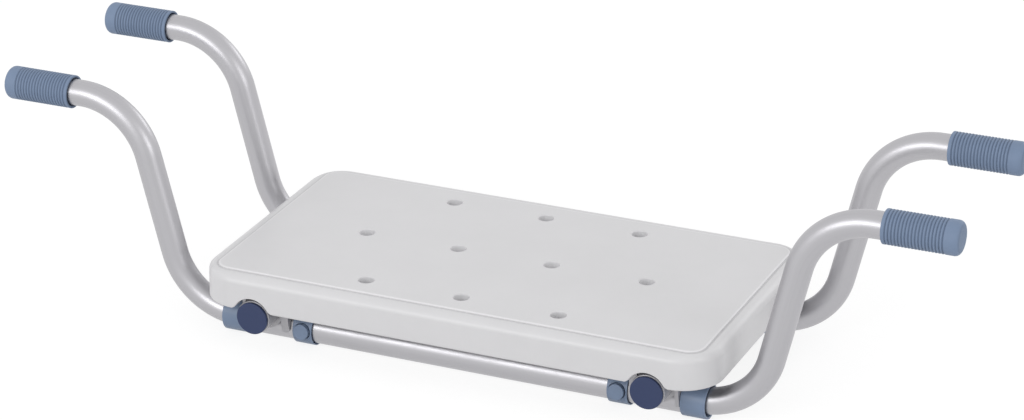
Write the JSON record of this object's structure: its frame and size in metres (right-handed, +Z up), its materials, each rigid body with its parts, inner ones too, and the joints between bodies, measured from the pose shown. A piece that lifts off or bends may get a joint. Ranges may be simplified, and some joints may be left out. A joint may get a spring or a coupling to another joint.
{
  "type": "bath seat",
  "caption": "Bath seat: a drained plastic board clamped on two tubes, with telescopic cranked arms whose ribbed sleeves lie on the rims of a bath.",
  "frame": {"origin": "on the ground under the middle of the seat, level with the underside of the tube collars", "axes": "+X along the seat from rim to rim, +Y towards the rear tube, +Z up"},
  "size_m": [0.7128, 0.208, 0.1755],
  "materials": {
    "white_plastic": "fine satin, cool white",
    "aluminium_tube": "satin anodised",
    "blue_rubber": "matt slate blue",
    "blue_plastic": "satin grey blue",
    "navy_plastic": "satin navy",
    "silver_plastic": "satin silver grey",
    "steel": "zinc plated"
  },
  "bodies": {
    "frame": {"seat_board": "white_plastic", "front_centre_tube": "aluminium_tube", "rear_centre_tube": "aluminium_tube", "front_left_end_collar": "blue_plastic", "front_left_button_collar": "blue_plastic", "front_left_clamp_saddle": "silver_plastic", "front_left_clamp_nut": "steel", "front_left_clamp_screw_inner": "steel", "front_left_clamp_screw_outer": "steel", "front_right_end_collar": "blue_plastic", "front_right_button_collar": "blue_plastic", "front_right_clamp_saddle": "silver_plastic", "front_right_clamp_nut": "steel", "front_right_clamp_screw_inner": "steel", "front_right_clamp_screw_outer": "steel", "rear_left_end_collar": "blue_plastic", "rear_left_button_collar": "blue_plastic", "rear_left_clamp_saddle": "silver_plastic", "rear_left_clamp_nut": "steel", "rear_left_clamp_screw_inner": "steel", "rear_left_clamp_screw_outer": "steel", "rear_right_end_collar": "blue_plastic", "rear_right_button_collar": "blue_plastic", "rear_right_clamp_saddle": "silver_plastic", "rear_right_clamp_nut": "steel", "rear_right_clamp_screw_inner": "steel", "rear_right_clamp_screw_outer": "steel"},
    "front_left_sliding_arm": {"front_left_arm": "aluminium_tube", "front_left_grip": "blue_rubber"},
    "front_left_press_button": {"front_left_button": "blue_plastic", "front_left_lock_pin": "steel", "front_left_button_spring": "steel"},
    "front_left_jaw": {"front_left_clamp_jaw": "silver_plastic"},
    "front_left_turning_knob": {"front_left_knob": "navy_plastic", "front_left_knob_bolt": "steel"},
    "front_right_sliding_arm": {"front_right_arm": "aluminium_tube", "front_right_grip": "blue_rubber"},
    "front_right_press_button": {"front_right_button": "blue_plastic", "front_right_lock_pin": "steel", "front_right_button_spring": "steel"},
    "front_right_jaw": {"front_right_clamp_jaw": "silver_plastic"},
    "front_right_turning_knob": {"front_right_knob": "navy_plastic", "front_right_knob_bolt": "steel"},
    "rear_left_sliding_arm": {"rear_left_arm": "aluminium_tube", "rear_left_grip": "blue_rubber"},
    "rear_left_press_button": {"rear_left_button": "blue_plastic", "rear_left_lock_pin": "steel", "rear_left_button_spring": "steel"},
    "rear_left_jaw": {"rear_left_clamp_jaw": "silver_plastic"},
    "rear_left_turning_knob": {"rear_left_knob": "navy_plastic", "rear_left_knob_bolt": "steel"},
    "rear_right_sliding_arm": {"rear_right_arm": "aluminium_tube", "rear_right_grip": "blue_rubber"},
    "rear_right_press_button": {"rear_right_button": "blue_plastic", "rear_right_lock_pin": "steel", "rear_right_button_spring": "steel"},
    "rear_right_jaw": {"rear_right_clamp_jaw": "silver_plastic"},
    "rear_right_turning_knob": {"rear_right_knob": "navy_plastic", "rear_right_knob_bolt": "steel"}
  },
  "joints": [
    {"name": "front_left_arm_slide", "type": "slide", "parent": "frame", "child": "front_left_sliding_arm", "axis": [-1, 0, 0], "range_m": [0, 0.04]},
    {"name": "front_left_button_press", "type": "slide", "parent": "frame", "child": "front_left_press_button", "axis": [0, 0.9962, -0.0872], "range_m": [0, 0.0018], "stiffness_N_per_m": 800, "springref_m": -0.002},
    {"name": "front_left_jaw_slide", "type": "slide", "parent": "frame", "child": "front_left_jaw", "axis": [0, -1, 0], "range_m": [0, 0.0008]},
    {"name": "front_left_knob_turn", "type": "hinge", "parent": "front_left_jaw", "child": "front_left_turning_knob", "pos_m": [-0.15, -0.0714, 0.0266], "axis": [0, -1, 0], "range_deg": [0, 360]},
    {"name": "front_right_arm_slide", "type": "slide", "parent": "frame", "child": "front_right_sliding_arm", "axis": [1, 0, 0], "range_m": [0, 0.04]},
    {"name": "front_right_button_press", "type": "slide", "parent": "frame", "child": "front_right_press_button", "axis": [0, 0.9962, -0.0872], "range_m": [0, 0.0018], "stiffness_N_per_m": 800, "springref_m": -0.002},
    {"name": "front_right_jaw_slide", "type": "slide", "parent": "frame", "child": "front_right_jaw", "axis": [0, -1, 0], "range_m": [0, 0.0008]},
    {"name": "front_right_knob_turn", "type": "hinge", "parent": "front_right_jaw", "child": "front_right_turning_knob", "pos_m": [0.15, -0.0714, 0.0266], "axis": [0, -1, 0], "range_deg": [0, 360]},
    {"name": "rear_left_arm_slide", "type": "slide", "parent": "frame", "child": "rear_left_sliding_arm", "axis": [-1, 0, 0], "range_m": [0, 0.04]},
    {"name": "rear_left_button_press", "type": "slide", "parent": "frame", "child": "rear_left_press_button", "axis": [0, -0.9962, -0.0872], "range_m": [0, 0.0018], "stiffness_N_per_m": 800, "springref_m": -0.002},
    {"name": "rear_left_jaw_slide", "type": "slide", "parent": "frame", "child": "rear_left_jaw", "axis": [0, 1, 0], "range_m": [0, 0.0008]},
    {"name": "rear_left_knob_turn", "type": "hinge", "parent": "rear_left_jaw", "child": "rear_left_turning_knob", "pos_m": [-0.15, 0.0714, 0.0266], "axis": [0, 1, 0], "range_deg": [0, 360]},
    {"name": "rear_right_arm_slide", "type": "slide", "parent": "frame", "child": "rear_right_sliding_arm", "axis": [1, 0, 0], "range_m": [0, 0.04]},
    {"name": "rear_right_button_press", "type": "slide", "parent": "frame", "child": "rear_right_press_button", "axis": [0, -0.9962, -0.0872], "range_m": [0, 0.0018], "stiffness_N_per_m": 800, "springref_m": -0.002},
    {"name": "rear_right_jaw_slide", "type": "slide", "parent": "frame", "child": "rear_right_jaw", "axis": [0, 1, 0], "range_m": [0, 0.0008]},
    {"name": "rear_right_knob_turn", "type": "hinge", "parent": "rear_right_jaw", "child": "rear_right_turning_knob", "pos_m": [0.15, 0.0714, 0.0266], "axis": [0, 1, 0], "range_deg": [0, 360]}
  ],
  "couplings": [
    {"joint": "front_left_knob_turn", "follows": "front_left_jaw_slide", "rad_per_m": 7854},
    {"joint": "front_right_knob_turn", "follows": "front_right_jaw_slide", "rad_per_m": 7854},
    {"joint": "rear_left_knob_turn", "follows": "rear_left_jaw_slide", "rad_per_m": 7854},
    {"joint": "rear_right_knob_turn", "follows": "rear_right_jaw_slide", "rad_per_m": 7854}
  ]
}
